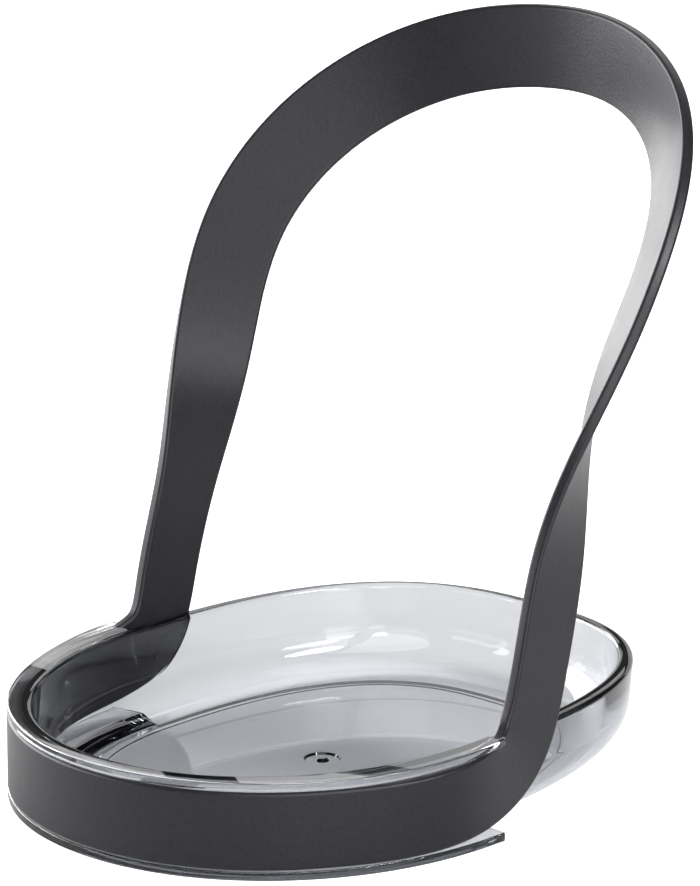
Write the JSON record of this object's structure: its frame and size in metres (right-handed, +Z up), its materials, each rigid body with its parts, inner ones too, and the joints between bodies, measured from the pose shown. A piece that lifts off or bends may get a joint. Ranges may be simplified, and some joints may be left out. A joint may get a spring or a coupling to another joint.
{
  "type": "hair dryer holder",
  "caption": "Benchtop holder: a clear oval dish clipped into a flat metal loop that rises behind it as a leaning arch, so a hair dryer or hot tool rests in the arch over the dish.",
  "frame": {"origin": "on the bench, under the widest point of the front of the tray, on the plane of symmetry", "axes": "+X to the right as seen from the front, +Y to the back, towards which the arch leans, +Z up"},
  "size_m": [0.1346, 0.1635, 0.1648],
  "materials": {
    "gunmetal_band": "satin dark gunmetal coating with a fine mottle",
    "smoke_clear_plastic": "glossy moulded plastic, clear with a light smoke tint"
  },
  "bodies": {
    "root": {"loop_band": "gunmetal_band", "tray": "smoke_clear_plastic"}
  },
  "joints": []
}
